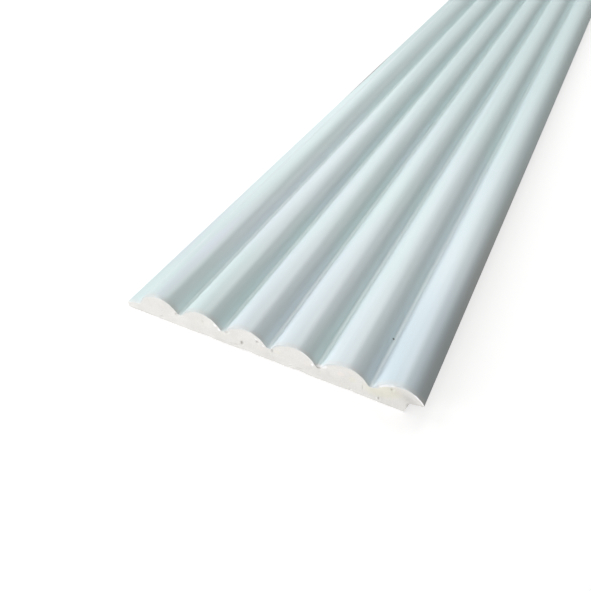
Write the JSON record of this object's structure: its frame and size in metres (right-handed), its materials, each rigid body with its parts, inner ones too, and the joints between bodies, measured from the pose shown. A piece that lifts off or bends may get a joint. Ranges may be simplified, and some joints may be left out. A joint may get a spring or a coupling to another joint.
{
  "type": "fluted wall panel",
  "caption": "Long wall cladding panel with rounded reeds and narrow flutes along its face, a thin ledge on one edge and an overhanging lip on the other, so that panels lap.",
  "frame": {"origin": "middle of the flat back, halfway along the length, with the panel lying on its back", "axes": "+X across the reeds from the ledge to the lip, +Y along the reeds, +Z out of the fluted face"},
  "size_m": [0.1196, 2.4, 0.0115],
  "materials": {
    "coated_foam": "satin white coat over extruded rigid foam, bare foam at the sawn ends"
  },
  "bodies": {
    "root": {"fluted_panel": "coated_foam"}
  },
  "joints": []
}
